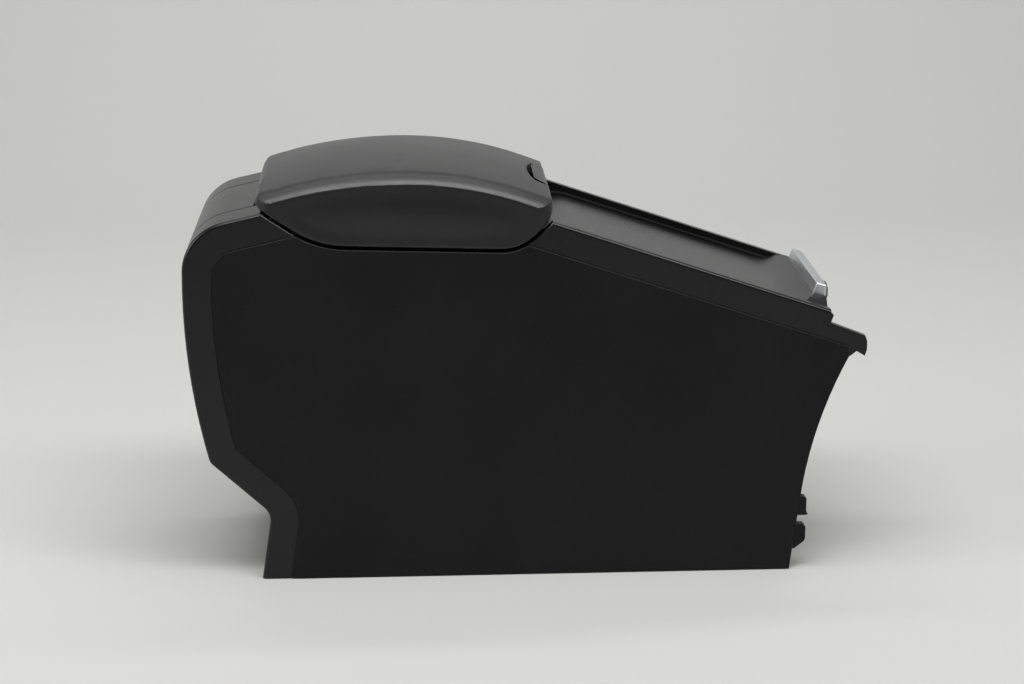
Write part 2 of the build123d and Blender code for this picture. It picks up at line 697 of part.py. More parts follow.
def bin_mat():
    gap = BIN_WALL + MAT_GAP
    x0 = BIN_REAR_X + gap + BIN_FLOOR_R
    x1 = BIN_FRONT_X - gap - BIN_FLOOR_R
    half = BIN_HALF - gap - BIN_FLOOR_R
    plan = RectangleRounded(x1 - x0, 2 * half, MAT_CORNER_R)
    return extrude(Pos((x0 + x1) / 2, 0, BIN_FLOOR_Z + BIN_WALL) * plan, amount=MAT_T)


# Lid

def cavity_face(margin):
    """Side view of the space inside the pad, open below, shrunk by margin."""
    x0 = CAVITY_X0 + margin
    x1 = CAVITY_X1 - margin
    drop = PAD_T + margin
    low = LID_TOE_Z - PAD_T
    rear = (x0, lid_top(x0) - drop)
    front = (x1, lid_top(x1) - drop)
    edges = lid_top_arcs(drop, x0, x1) + [
        Line(front, (x1, low)),
        Line((x1, low), (x0, low)),
        Line((x0, low), rear),
    ]
    return make_face(edges)


def lid_body():
    """Lid's outer form: a crowned section with soft shoulders swung along the two top arcs."""
    radius = (HALF**2 + LID_CROWN**2) / (2 * LID_CROWN)
    low = LID_TOE_Z - OVERRUN
    inner = HALF - LID_EDGE_W
    drop = sqrt(radius**2 - inner**2)
    inner_z = LID_PEAK_Z + LID_CROWN - radius + drop
    edge_z = LID_PEAK_Z - LID_EDGE_H
    section = make_face([
        RadiusArc((-inner, inner_z), (inner, inner_z), radius),
        TangentArc((inner, inner_z), (HALF, edge_z), tangent=(drop, -inner)),
        Line((HALF, edge_z), (HALF, low)),
        Line((HALF, low), (-HALF, low)),
        Line((-HALF, low), (-HALF, edge_z)),
        TangentArc((-inner, inner_z), (-HALF, edge_z), tangent=(-drop, -inner)),
    ])
    section = rounded(section, [((-HALF, edge_z), LID_CREASE_R), ((HALF, edge_z), LID_CREASE_R)])
    section = Plane.YZ.offset(LID_PEAK_X) * section
    swings = Part()
    for arc_r, end_x, turn in ((LID_FRONT_R, LID_NOSE_X, 1), (LID_REAR_R, LID_REAR_X, -1)):
        axis = Axis((LID_PEAK_X, 0, LID_PEAK_Z - arc_r), (0, turn, 0))
        swings += revolve(section, axis, degrees(asin(abs(end_x - LID_PEAK_X) / arc_r)) * LID_OVERSWING)
    lift = LID_CROWN + FIT
    boat = rounded(lid_outline(lift), [nose_rounding(lift), tail_rounding(lift)])
    slack = 2 * SEAT
    plan = RectangleRounded(LID_NOSE_X - LID_REAR_X + 2 * slack, WIDTH + 2 * slack, LID_CORNER_R)
    post = extrude(Pos((LID_NOSE_X + LID_REAR_X) / 2, 0, low) * plan, amount=WIDTH)
    return swings & centred(boat, HALF) & post


def hinge_notch():
    """Room under the rear of the pad: closed behind the shell's lugs, open for the bracket's arms."""
    x1 = CAVITY_X0 + PAST
    low = LID_HEEL_Z - PAST
    top = HINGE_Z + EYE_R + NOTCH_GAP
    lugs = rectangle(HINGE_X - EYE_R - NOTCH_GAP, x1, low, top)
    arms = rectangle(LID_REAR_X - PAST, x1, low, top)
    notch = slab(lugs, LUG_Y0 - NOTCH_GAP, ARM_Y0)
    notch += slab(arms, ARM_Y0 - ARM_GAP, ARM_Y1 + NOTCH_GAP)
    return both_sides(notch)


def paddle_pocket():
    """Plan of the paddle's place in the pad: a thin line at its ends, a crescent gap behind it."""
    rear = LID_NOSE_X - PADDLE_L - FINGER_GAP
    front = LID_NOSE_X + PAST
    half = PADDLE_HALF + PADDLE_GAP
    side = rear + FINGER_R - sqrt(FINGER_R**2 - half**2)
    face = make_face([
        ThreePointArc((side, -half), (rear, 0), (side, half)),
        Line((side, half), (front, half)),
        Line((front, half), (front, -half)),
        Line((front, -half), (side, -half)),
    ])
    return rounded(face, [((side, -half), FINGER_END_R), ((side, half), FINGER_END_R)])


def armrest_pad():
    """Foam pad with its cover, hollow below for the shell, notched for the hinge and the latch."""
    pad = lid_body() - centred(cavity_face(0), CAVITY_HALF) - hinge_notch()
    pad -= rod(HINGE_X, HINGE_Z, HINGE_PIN_R + NOTCH_GAP, -LUG_Y0, LUG_Y0)
    over_bridge = BIN_RIM_Z + BRIDGE_GAP
    chin_x = LID_NOSE_X - PADDLE_L / 2
    pad -= block(LID_TOE_X, chin_x, -CAVITY_HALF, CAVITY_HALF, LID_TOE_Z - PAST, over_bridge)
    half = PADDLE_HALF + PADDLE_GAP
    pad -= block(CAVITY_X1 - PAST, LID_NOSE_X + PAST, -half, half, LID_TOE_Z - PAST, SLOT_TOP_Z)
    return pad - extrude(Pos(0, 0, SLOT_TOP_Z - PAST) * paddle_pocket(), amount=WIDTH)


def lid_shell():
    """Moulded shell inside the pad, with hinge lugs, screw bosses and the latch's bearings."""
    room = cavity_face(FIT)
    shell = centred(room & inset(LID, SHELL_HEM), SHELL_HALF)
    shell -= centred(cavity_face(FIT + SHELL_T), SHELL_IN)
    over_bridge = BIN_RIM_Z + BRIDGE_GAP
    shell -= block(LID_TOE_X, CAVITY_X1, -SHELL_IN, SHELL_IN, LID_TOE_Z - PAST, over_bridge)

    inside = centred(room, SHELL_HALF)
    posts = Part()
    for x in BOSS_X:
        for y in (-BOSS_Y, BOSS_Y):
            posts += Pos(x, y, LINER_Z + LINER_T) * boss_column()
    shell += posts & inside
    bearing = hull(
        Pos(LATCH_X, LATCH_Z) * Circle(BARREL_R + LATCH_LUG_RIM),
        rectangle(LATCH_X - BARREL_R, LATCH_X + BARREL_R, LINER_Z + PAD_T, LID_PEAK_Z),
    )
    bearings = both_sides(slab(bearing, LATCH_LUG_Y, LATCH_LUG_Y + LATCH_LUG_T)) & inside
    shell += bearings
    slot_x = CAVITY_X1 - SLOT_L
    slots = block(slot_x, CAVITY_X1, -LATCH_ARM_Y1 - PAST, -LATCH_ARM_Y0 + PAST, LINER_Z, SLOT_TOP_Z)
    shell -= both_sides(slots)
    shell -= rod(LATCH_X, LATCH_Z, LATCH_PIN_R + PIN_HOLD, -HALF, HALF)
    for x in BOSS_X:
        for y in (-BOSS_Y, BOSS_Y):
            shell -= Pos(x, y, LINER_Z + SCREW_GRIP / 2) * Cylinder(SCREW_R + PIN_HOLD, SCREW_GRIP + PAST)

    wall_x = CAVITY_X0 + FIT
    lug = hull(
        Pos(HINGE_X, HINGE_Z) * Circle(EYE_R),
        rectangle(wall_x, wall_x + SHELL_T, LID_TAIL_Z - PAD_T, HINGE_Z + EYE_R - PAST),
    )
    shell += both_sides(slab(lug, LUG_Y0, LUG_Y1))
    return shell - rod(HINGE_X, HINGE_Z, HINGE_PIN_R + PIN_RUN, -HALF, HALF)


def boss_column():
    return extrude(Circle(BOSS_R), amount=LID_PEAK_Z - LINER_Z)


def hull(*faces):
    """Convex side-view face round several faces."""
    edges = [edge for face in faces for edge in face.edges()]
    return make_hull(edges)


def lid_liner():
    """Flat liner that closes the shell from below, with a window for the latch's hook."""
    x0 = CAVITY_X0 + FIT + SHELL_T + LINER_SET
    x1 = CAVITY_X1 - FIT - SHELL_T - FIT
    half = SHELL_IN - FIT
    liner = block(x0, x1, -half, half, LINER_Z, LINER_Z + LINER_T)
    liner = fillet(liner.edges().filter_by(Axis.Z), LINER_CORNER_R)
    window = block(
        hook_rear_x() - PAST,
        LATCH_X + LATCH_HOOK_T,
        -LATCH_HOOK_HALF - PAST,
        LATCH_HOOK_HALF + PAST,
        LINER_Z - PAST,
        LINER_Z + LINER_T + PAST,
    )
    liner -= window
    for x in BOSS_X:
        for y in (-BOSS_Y, BOSS_Y):
            liner -= Pos(x, y, LINER_Z) * Cylinder(SCREW_R + FIT, LINER_T * 3)
    return liner


def screw(grip):
    """Pan-head screw standing on its point's axis, head below, seated at the origin."""
    head = Pos(0, 0, -SCREW_HEAD_H / 2) * Cylinder(SCREW_HEAD_R, SCREW_HEAD_H)
    head = chamfer(head.edges().sort_by(Axis.Z)[0], SCREW_HEAD_H / 3)
    recess = Pos(0, 0, -SCREW_HEAD_H) * Cylinder(SCREW_R / 2, SCREW_HEAD_H)
    shank = Pos(0, 0, grip / 2) * Cylinder(SCREW_R, grip)
    return head - recess + shank


def lid_screws():
    one = screw(SCREW_GRIP)
    return Compound([Pos(x, y, LINER_Z) * one for x in BOSS_X for y in (-BOSS_Y, BOSS_Y)])


def lid_bumpers():
    """Two rubber stops under the liner that rest on the bin's front flange."""
    height = LINER_Z - BIN_RIM_Z - BUMPER_GAP
    one = Pos(BUMPER_X, 0, LINER_Z - height / 2) * Cylinder(BUMPER_R, height)
    one = chamfer(one.edges().sort_by(Axis.Z)[0], height / 5)
    return Compound([Pos(0, y, 0) * one for y in (-BUMPER_Y, BUMPER_Y)])


# Hinge

def hinge_bracket():
    """Base plate on the bin's rear flange with two arms that hold the hinge pin."""
    plate = block(BRACKET_X0, BRACKET_X1, -BRACKET_HALF, BRACKET_HALF, BIN_RIM_Z, BIN_RIM_Z + BRACKET_T)
    plate = fillet(plate.edges().filter_by(Axis.Z), BRACKET_T)
    arm = hull(
        Pos(HINGE_X, HINGE_Z) * Circle(EYE_R),
        rectangle(HINGE_X - ARM_ROOT / 2, HINGE_X + ARM_ROOT / 2, BIN_RIM_Z, BIN_RIM_Z + BRACKET_T),
    )
    bracket = plate + both_sides(slab(arm, ARM_Y0, ARM_Y1))
    bracket -= rod(HINGE_X, HINGE_Z, HINGE_PIN_R + PIN_HOLD, -HALF, HALF)
    for y in HINGE_SCREW_Y:
        bracket -= both_sides(Pos(HINGE_X, y, BIN_RIM_Z) * Cylinder(SCREW_R + FIT, BRACKET_T * 3))
    return bracket


def hinge_pin():
    pin = rod(HINGE_X, HINGE_Z, HINGE_PIN_R, -ARM_Y1, ARM_Y1)
    return chamfer(pin.edges().filter_by(GeomType.CIRCLE), HINGE_PIN_R / 5)


def hinge_screws():
    one = Rot(180, 0, 0) * screw(SCREW_GRIP)
    top = BIN_RIM_Z + BRACKET_T
    return Compound([Pos(HINGE_X, y * side, top) * one for y in HINGE_SCREW_Y for side in (-1, 1)])


# Latch

def hook_rear_x():
    return LATCH_X - LATCH_HOOK_T / 2 - LATCH_BARB


def latch_paddle():
    """Pull paddle wrapped over the lid's nose, with two arms, a barrel and the hook."""
    outline = rounded(lid_outline(LID_CROWN), [nose_rounding(LID_CROWN)])
    rear_x = LID_NOSE_X - PADDLE_L
    wrap = (outline - inset(outline, PADDLE_T)) & rectangle(rear_x, LID_NOSE_X, PADDLE_LOW_Z, LID_PEAK_Z)
    plan = RectangleRounded(2 * PADDLE_L, 2 * PADDLE_HALF, PADDLE_CORNER_R)
    paddle = centred(wrap, PADDLE_HALF) & extrude(Pos(LID_NOSE_X, 0, 0) * plan, amount=FAR)

    low = LATCH_Z - BARREL_R
    arm = hull(
        Pos(LATCH_X, LATCH_Z) * Circle(BARREL_R),
        rectangle(rear_x, LID_NOSE_X - PADDLE_T, low, low + 2 * BARREL_R - PAST),
    )
    rib = rectangle(rear_x + PADDLE_T, LID_NOSE_X - PADDLE_T / 2, low, LID_PEAK_Z) & outline
    paddle += both_sides(slab((arm & outline) + rib, LATCH_ARM_Y0, LATCH_ARM_Y1))

    hub = rod(LATCH_X, LATCH_Z, BARREL_R, -LATCH_HOOK_HALF, LATCH_ARM_Y1)
    hub += rod(LATCH_X, LATCH_Z, BARREL_R, -LATCH_ARM_Y1, -SPRING_Y - SPRING_ROOM)
    under = BIN_RIM_Z - BIN_WALL - STRIKER_T - STRIKER_GAP
    rear = LATCH_X - LATCH_HOOK_T / 2
    front = LATCH_X + LATCH_HOOK_T / 2
    tip = hook_rear_x()
    hook = polygon(
        (rear, LATCH_Z),
        (rear, under),
        (tip, under),
        (tip, under - LATCH_BARB_H / 4),
        (rear, under - LATCH_BARB_H),
        (front, under - LATCH_BARB_H),
        (front, LATCH_Z),
    )
    paddle += hub + centred(hook, LATCH_HOOK_HALF)
    return paddle - rod(LATCH_X, LATCH_Z, LATCH_PIN_R + PIN_RUN, -HALF, HALF)


def latch_pin():
    end = LATCH_LUG_Y + LATCH_LUG_T
    return rod(LATCH_X, LATCH_Z, LATCH_PIN_R, -end, end)


def wire(points):
    """Round wire through the points."""
    path = Part()
    for start, stop in zip(points, points[1:]):
        run = Vector(stop) - Vector(start)
        plane = Plane(origin=start, z_dir=run)
        path += extrude(plane * Circle(SPRING_WIRE / 2), amount=run.length)
        path += Pos(*stop) * Sphere(SPRING_WIRE / 2)
    return path


def latch_spring():
    """Torsion spring round the latch's pin: one leg on the shell, one on the hook."""
    pitch = SPRING_WIRE * SPRING_LEAD
    length = pitch * SPRING_TURNS
    helix = Helix(pitch, length, SPRING_R, center=(0, 0, 0), direction=(0, 0, 1))
    coil = sweep(Plane(origin=helix @ 0, z_dir=helix % 0) * Circle(SPRING_WIRE / 2), path=helix)
    first = helix @ 0
    last = helix @ 1
    place = Pos(LATCH_X, SPRING_Y, LATCH_Z) * Rot(-90, 0, 0)
    coil = place * coil
    start = (place * Pos(first)).position
    end = (place * Pos(last)).position
    front = LATCH_X + LATCH_HOOK_T / 2 + SPRING_WIRE / 2 + PIN_RUN
    low_z = LATCH_Z - BARREL_R - SPRING_LEG
    hook_leg = wire([
        tuple(start),
        (front, start.Y, low_z),
        (front, 0, low_z),
    ])
    shell_z = lid_top(end.X) - PAD_T - FIT - SHELL_T - SPRING_WIRE
    shell_leg = wire([tuple(end), (end.X, end.Y, shell_z)])
    return coil + hook_leg + shell_leg


def striker():
    """Steel catch plate under the bin's front flange."""
    top = BIN_RIM_Z - BIN_WALL
    edge = hook_rear_x() - STRIKER_CLEAR
    plate = block(BIN_FRONT_X, edge, -STRIKER_HALF, STRIKER_HALF, top - STRIKER_T, top)
    for y in (-STRIKER_SCREW_Y, STRIKER_SCREW_Y):
        plate -= Pos(striker_screw_x(), y, top) * Cylinder(STRIKER_SCREW_R + PIN_HOLD, STRIKER_T * 3)
    return plate


def striker_screw_x():
    return (BIN_FRONT_X + hook_rear_x() - STRIKER_CLEAR) / 2


def striker_screws():
    grip = BIN_WALL + STRIKER_T
    head = Pos(0, 0, SCREW_HEAD_H / 3) * Cylinder(STRIKER_SCREW_R * 2, SCREW_HEAD_H * 2 / 3)
    shank = Pos(0, 0, -grip / 2) * Cylinder(STRIKER_SCREW_R, grip)
    one = head + shank
    place = [Pos(striker_screw_x(), y, BIN_RIM_Z) for y in (-STRIKER_SCREW_Y, STRIKER_SCREW_Y)]
    return Compound([spot * one for spot in place])


# Shutter, tracks and tray

def bend_centre():
    return slope_point(TRACK_BEND_S, TRACK_DEPTH + TRACK_BEND_R)


def track_corner(lift):
    """Where the track's slope and its upright run would meet, at a lift off the middle line."""
    a = radians(RAIL_SLOPE)
    x = bend_centre()[0] - TRACK_BEND_R - lift
    depth = TRACK_DEPTH - lift
    along = (x - RAIL_X + depth * sin(a)) / cos(a)
    return slope_point(along, depth)


def track_face(low, high, end_s):
    """Side view of a strip that follows the shutter's track from its front end to its foot."""
    outer = track_corner(high)
    inner = track_corner(low)
    face = polygon(
        slope_point(end_s, TRACK_DEPTH - high),
        outer,
        (outer[0], TRACK_FOOT_Z),
        (inner[0], TRACK_FOOT_Z),
        inner,
        slope_point(end_s, TRACK_DEPTH - low),
    )
    return rounded(face, [(outer, TRACK_BEND_R + high), (inner, TRACK_BEND_R + low)])


def guide_rail():
    """Channel that guides one edge of the shutter along the slope and down behind the tray."""
    gap = SHEET_T / 2 + TRACK_PLAY
    full = gap + TRACK_LIP_T
    channel = slab(track_face(-full, full, TRACK_END_S), TRACK_LIP_IN, TRACK_OUT)
    room = slab(track_face(-gap, gap, TRACK_END_S + PAST), TRACK_LIP_IN - PAST, TRACK_WEB_IN)
    stop = block(-HALF, HALF, -HALF, HALF, TRACK_FOOT_Z - PAST, TRACK_FOOT_Z + TRACK_LIP_T)
    rail = channel - (room - stop)
    drop = TRACK_DEPTH + SHEET_T / 2 + TRACK_PLAY
    for s in TRAY_SCREW_S:
        rail -= SLOPE * Pos(s, -tray_screw_y(), -drop) * Cylinder(SCREW_R + PIN_HOLD, TRACK_LIP_T * 3)
    return rail


def shutter_sheet():
    """Flexible shutter with a row of shallow flex grooves underneath, its tail in the bend."""
    face = track_face(-SHEET_T / 2, SHEET_T / 2, BAR_REAR_S)
    x, z = bend_centre()
    far = TRACK_BEND_R * 2
    turn = radians(90 - RAIL_SLOPE + TAIL_ANGLE)
    face -= polygon(
        (x, z),
        (x + far * cos(turn), z + far * sin(turn)),
        (x - far * 2, z + far * sin(turn)),
        (x - far * 2, -far),
        (x, -far),
    )
    depth = TRACK_DEPTH + SHEET_T / 2
    count = int((BAR_REAR_S - TRACK_BEND_S) / GROOVE_PITCH)
    for index in range(1, count):
        s = TRACK_BEND_S + index * GROOVE_PITCH
        face -= polygon(
            slope_point(s, depth - GROOVE_DEPTH),
            slope_point(s + GROOVE_W, depth - GROOVE_DEPTH),
            slope_point(s + GROOVE_W, depth + PAST),
            slope_point(s, depth + PAST),
        )
    return centred(face, SHEET_HALF)


def slope_block(s0, s1, half, depth0, depth1):
    """Block in the slope's own frame, between two depths below the rails' top."""
    size = (s1 - s0, 2 * half, depth1 - depth0)
    return SLOPE * Pos((s0 + s1) / 2, 0, -(depth0 + depth1) / 2) * Box(*size)


def shutter_front_bar():
    """Rigid front bar of the shutter, raised over the rails, with runners in the tracks."""
    gap = SHEET_T / 2
    low = TRACK_DEPTH + gap
    lip_top = TRACK_DEPTH - gap - TRACK_PLAY - TRACK_LIP_T
    rear_low = slope_point(BAR_REAR_S, low)
    rear_top = slope_point(BAR_REAR_S, TRACK_DEPTH - gap)
    crest = slope_point(BAR_REAR_S + BAR_RAMP_L, -BAR_RISE)
    front_top = slope_point(BAR_FRONT_S, -BAR_RISE)
    front_low = slope_point(BAR_FRONT_S, low)
    a = radians(RAIL_SLOPE)
    side = make_face([
        Line(rear_low, rear_top),
        TangentArc(rear_top, crest, tangent=(cos(a), -sin(a))),
        Line(crest, front_top),
        Line(front_top, front_low),
        Line(front_low, rear_low),
    ])
    half = BAR_HALF
    over = lip_top - FIT
    ends = Plane(origin=SLOPE.origin, x_dir=(0, 1, 0), z_dir=SLOPE.x_dir)
    section = polygon(
        (-half, -over),
        (half, -over),
        (half, BAR_RISE - BAR_END_DROP),
        (BAR_FLAT_HALF, BAR_RISE),
        (-BAR_FLAT_HALF, BAR_RISE),
        (-half, BAR_RISE - BAR_END_DROP),
    )
    upper = extrude(ends * section, amount=BAR_FRONT_S + PAST) & centred(side, half)
    neck = slope_block(BAR_REAR_S, BAR_FRONT_S, TRACK_LIP_IN - FIT, over - PAST, low)
    runners = slope_block(BAR_REAR_S, BAR_FRONT_S, SHEET_HALF, TRACK_DEPTH - gap, low)
    return upper + (neck & centred(side, half)) + runners


def shutter_handle():
    """Satin pull bar across the shutter's front bar."""
    rear_top = slope_point(HANDLE_S + HANDLE_REAR_LEAN, -BAR_RISE - HANDLE_H)
    front_top = slope_point(HANDLE_S + HANDLE_L - HANDLE_FRONT_LEAN, -BAR_RISE - HANDLE_H)
    side = polygon(
        slope_point(HANDLE_S, -BAR_RISE),
        rear_top,
        front_top,
        slope_point(HANDLE_S + HANDLE_L, -BAR_RISE),
    )
    side = rounded(side, [(rear_top, HANDLE_R), (front_top, HANDLE_R)])
    bar = centred(side, HANDLE_HALF)
    seat = slope_point(HANDLE_S + HANDLE_L / 2, -BAR_RISE)
    rims = bar.faces().sort_by(Axis.Y)
    edges = rims[0].edges() + rims[-1].edges()
    edges = [edge for edge in edges if edge.center().Z > seat[1] + HANDLE_L * sin(radians(RAIL_SLOPE))]
    return fillet(edges, HANDLE_END_R)


def front_tray():
    """Tray under the shutter, hung by its flange from the two guide rails."""
    drop = TRACK_DEPTH + SHEET_T / 2 + TRACK_PLAY + TRACK_LIP_T + SEAT
    plate = slope_block(TRAY_S0, TRAY_S1, TRACK_OUT - FIT, drop, drop + WALL)
    outer = tub(TRAY_REAR_X, TRAY_FRONT_X, TRAY_HALF, TRAY_FLOOR_Z, RAIL_Z, TRAY_CORNER_R, BIN_FLOOR_R)
    inside = tub(
        TRAY_REAR_X + WALL,
        TRAY_FRONT_X - WALL,
        TRAY_HALF - WALL,
        TRAY_FLOOR_Z + WALL,
        RAIL_Z + PAST,
        TRAY_CORNER_R - WALL,
        BIN_FLOOR_R - WALL,
    )
    above = slope_block(-OVERRUN, TRAY_S1 + OVERRUN, HALF, drop - WIDTH, drop)
    tray = outer + plate - inside - above
    for s in TRAY_SCREW_S:
        hole = SLOPE * Pos(s, tray_screw_y(), -drop) * Cylinder(SCREW_R + FIT, WALL * 3)
        tray -= both_sides(hole)
    return tray


def tray_screw_y():
    return (TRACK_LIP_IN + TRACK_WEB_IN) / 2


def tray_screws():
    drop = TRACK_DEPTH + SHEET_T / 2 + TRACK_PLAY + TRACK_LIP_T + SEAT
    one = screw(WALL + SEAT + TRACK_LIP_T - PIN_HOLD)
    spots = [SLOPE * Pos(s, tray_screw_y() * side, -drop - WALL) for s in TRAY_SCREW_S for side in (-1, 1)]
    return Compound([spot * one for spot in spots])


save_pair(right_band(), "band")
save_pair(right_side_panel(), "side_panel")
save(rear_cover(), "rear_cover")
save(storage_bin(), "storage_bin")
save(bin_mat(), "bin_mat")
save(armrest_pad(), "armrest_pad")
save(lid_shell(), "lid_shell")
save(lid_liner(), "lid_liner")
save(lid_screws(), "lid_screws")
save(lid_bumpers(), "lid_bumpers")
save(hinge_bracket(), "hinge_bracket")
save(hinge_pin(), "hinge_pin")
save(hinge_screws(), "hinge_screws")
save(latch_paddle(), "latch_paddle")
save(latch_pin(), "latch_pin")
save(latch_spring(), "latch_spring")
save(striker(), "striker")
save(striker_screws(), "striker_screws")
save_pair(guide_rail(), "guide_rail")
save(shutter_sheet(), "shutter_sheet")
save(shutter_front_bar(), "shutter_front_bar")
save(shutter_handle(), "shutter_handle")
save(front_tray(), "front_tray")
save(tray_screws(), "tray_screws")
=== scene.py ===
"""Looks of a car centre armrest: a rear console with a padded lid, side panels and a roller shutter with a
metal pull bar."""

import json
from math import atan2, cos, radians, sin

import bpy
from mathutils import Matrix, Vector
from mathutils.kdtree import KDTree

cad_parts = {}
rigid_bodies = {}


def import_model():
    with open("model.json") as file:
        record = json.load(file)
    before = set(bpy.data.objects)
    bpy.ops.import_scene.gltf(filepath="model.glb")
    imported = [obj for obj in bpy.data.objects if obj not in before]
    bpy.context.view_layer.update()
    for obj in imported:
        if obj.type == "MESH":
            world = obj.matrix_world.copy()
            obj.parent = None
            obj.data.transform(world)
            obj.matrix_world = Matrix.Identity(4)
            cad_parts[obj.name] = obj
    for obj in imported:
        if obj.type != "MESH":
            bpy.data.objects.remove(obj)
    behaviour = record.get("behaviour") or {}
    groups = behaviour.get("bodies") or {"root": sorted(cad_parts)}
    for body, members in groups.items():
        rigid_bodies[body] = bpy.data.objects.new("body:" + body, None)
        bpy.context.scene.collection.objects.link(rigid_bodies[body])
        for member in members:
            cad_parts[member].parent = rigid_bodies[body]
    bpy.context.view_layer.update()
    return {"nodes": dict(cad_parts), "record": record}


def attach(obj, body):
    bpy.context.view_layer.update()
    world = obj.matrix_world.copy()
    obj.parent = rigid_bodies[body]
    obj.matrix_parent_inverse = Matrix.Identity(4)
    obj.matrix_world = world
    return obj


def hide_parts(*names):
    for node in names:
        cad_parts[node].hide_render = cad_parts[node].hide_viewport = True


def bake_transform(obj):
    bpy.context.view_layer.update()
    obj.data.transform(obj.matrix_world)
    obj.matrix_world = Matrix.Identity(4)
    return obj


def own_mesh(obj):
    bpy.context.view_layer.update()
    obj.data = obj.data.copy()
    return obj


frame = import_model()

MM = 0.001
MERGE = 0.01 * MM         # points of loose triangles that are this close are one
SHARP = radians(30)       # edges with a larger turn stay sharp in the shading

# The pad's cover over its foam. The foam pushes the cover out from a slightly smaller form, up to the cap.
# The push is worked out on a coarse twin and evened out over a short reach, because a taut cover bridges
# small waves.
PAD_HEART = Vector((-100, 0, 300)) * MM
PAD_VOXEL = 1.3 * MM
PAD_SHRINK = 0.6 * MM
TWIN_VOXEL = 5 * MM
TWIN_CAP = 3.2 * MM
TWIN_FRAMES = 20
TWIN_PRESSURE = 4
TWIN_STIFFNESS = 5
SWELL_REACH = 18 * MM
SWELL_EASE = 14 * MM

# Where the cover is held: on faces that look towards the pad's heart or further down than the hem, round the
# paddle's pocket and over the hinge.
OUTWARD = 0.15
HEM_NORMAL_Z = -0.35
POCKET_REAR = -1 * MM
POCKET_HALF = 41 * MM
HINGE_FRONT = -188 * MM
HINGE_HALF = 52 * MM
HINGE_TOP = 321 * MM

# The lid's section, in millimetres across the lid and up from its side edges: the centre, radius and last
# tilt of the crown, the soft shoulder and the crease, then the upright side. It swings about two axes that
# run across the lid below its peak. The cover is drawn onto it between two places along the lid, with an
# ease at each, where it lies no further off than the pull.
LID_SECTION = (
    (Vector((0, -1010.5)), 1014.5, radians(4.24)),
    (Vector((73.58, -17.89)), 19.16, radians(56.1)),
    (Vector((87, -8.87)), 3, radians(90)),
)
LID_SIDE = 90
LID_PEAK = Vector((-101.8, 340.7))
LID_REAR_R = 392
LID_FRONT_R = 310
SECTION_REAR = -201
SECTION_FRONT = 3
SECTION_EASE = 26
SECTION_PULL = 1.5

# Beyond these places, in millimetres, the cover takes the solid's own smooth normals, in full after the ease.
# It also takes them near the middle of the crease's arc: in full within the hold, and fading from there.
ENDS_REAR = -178
ENDS_FRONT = -22
ENDS_EASE = 22
CREASE_MIDDLE = Vector((89.9, -8))
CREASE_HOLD = 5
CREASE_FADE = 8

# How often the even faces are relaxed and laid back, how often the cover is smoothed after that, and how
# often its two rear upper corners are, which are drawn round.
RELAX_TURNS = 3
RELAX_ROUNDS = 6
COVER_ROUNDS = 2
TAIL_ROUNDS = 60
TAIL_FRONT = -190 * MM
TAIL_HALF = 52 * MM
TAIL_LOW = 316 * MM


# Camera: its place in metres, its turn to the right of +Y, down and about its line of sight, and its lens and
# sensor in millimetres

EYE = Vector((-0.09613, -1.78314, 0.69556))
YAW = radians(2.80)
PITCH = radians(16.23)
ROLL = radians(0.08)
LENS = 76.64
SENSOR = 36
NEAREST = 0.01


def place_camera():
    ahead = Vector((sin(YAW) * cos(PITCH), cos(YAW) * cos(PITCH), -sin(PITCH)))
    level_right = Vector((cos(YAW), -sin(YAW), 0))
    level_up = level_right.cross(ahead)
    right = level_right * cos(ROLL) - level_up * sin(ROLL)
    up = level_up * cos(ROLL) + level_right * sin(ROLL)
    turn = Matrix((right, up, -ahead)).transposed()
    bpy.ops.object.camera_add(location=EYE, rotation=turn.to_euler())
    camera = bpy.context.object
    camera.name = "camera"
    camera.data.lens = LENS
    camera.data.sensor_width = SENSOR
    camera.data.clip_start = NEAREST
    bpy.context.scene.camera = camera


# Materials

NOISE_LOW = 0.3           # a noise texture's values lie mostly between these two
NOISE_HIGH = 0.7


def colour(hex_code):
    parts = [int(hex_code[i : i + 2], 16) / 255 for i in (1, 3, 5)]
    linear = [p / 12.92 if p <= 0.04045 else ((p + 0.055) / 1.055) ** 2.4 for p in parts]
    return (*linear, 1.0)


def add(material, kind, settings=None, links=None):
    """Adds a node. Settings go to its sockets, to its colour ramp's stops or else to its properties, and
    links come from (node, output)."""
    node = material.node_tree.nodes.new("ShaderNode" + kind)
    for name, value in (settings or {}).items():
        if name in node.inputs:
            node.inputs[name].default_value = value
        elif name == "stops":
            for stop, (position, hex_code) in zip(node.color_ramp.elements, value):
                stop.position = position
                stop.color = colour(hex_code)
        else:
            setattr(node, name, value)
    for name, (source, output) in (links or {}).items():
        material.node_tree.links.new(source.outputs[output], node.inputs[name])
    return node


def blank(name):
    material = bpy.data.materials.new(name)
    material.use_nodes = True
    material.node_tree.nodes.clear()
    return material


